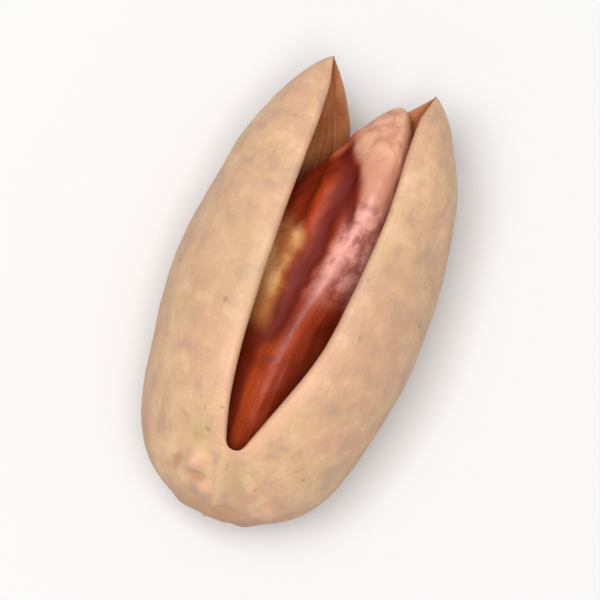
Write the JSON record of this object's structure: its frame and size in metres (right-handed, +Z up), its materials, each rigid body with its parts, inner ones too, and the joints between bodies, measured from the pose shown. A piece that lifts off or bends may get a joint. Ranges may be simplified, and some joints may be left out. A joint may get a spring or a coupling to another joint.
{
  "type": "pistachio in shell",
  "caption": "Whole roasted pistachio: a pale woody shell split open along its upper seam, with the reddish kernel showing inside.",
  "frame": {"origin": "on the surface the nut rests on, under the middle of its bounding box", "axes": "+Z up, out of the split; +Y along the nut from its stalk end to its two open tips; +X to the right valve"},
  "size_m": [0.0116, 0.021, 0.0116],
  "materials": {
    "shell": "hard woody shell, satin, beige to ivory with faint pinkish and greenish mottling, fine lengthwise streaks and small dark pits",
    "kernel_skin": "thin papery seed skin, slightly glossy, mahogany red to mauve, pale tan at the end towards the tips"
  },
  "bodies": {
    "root": {"shell": "shell", "kernel": "kernel_skin"}
  },
  "joints": []
}
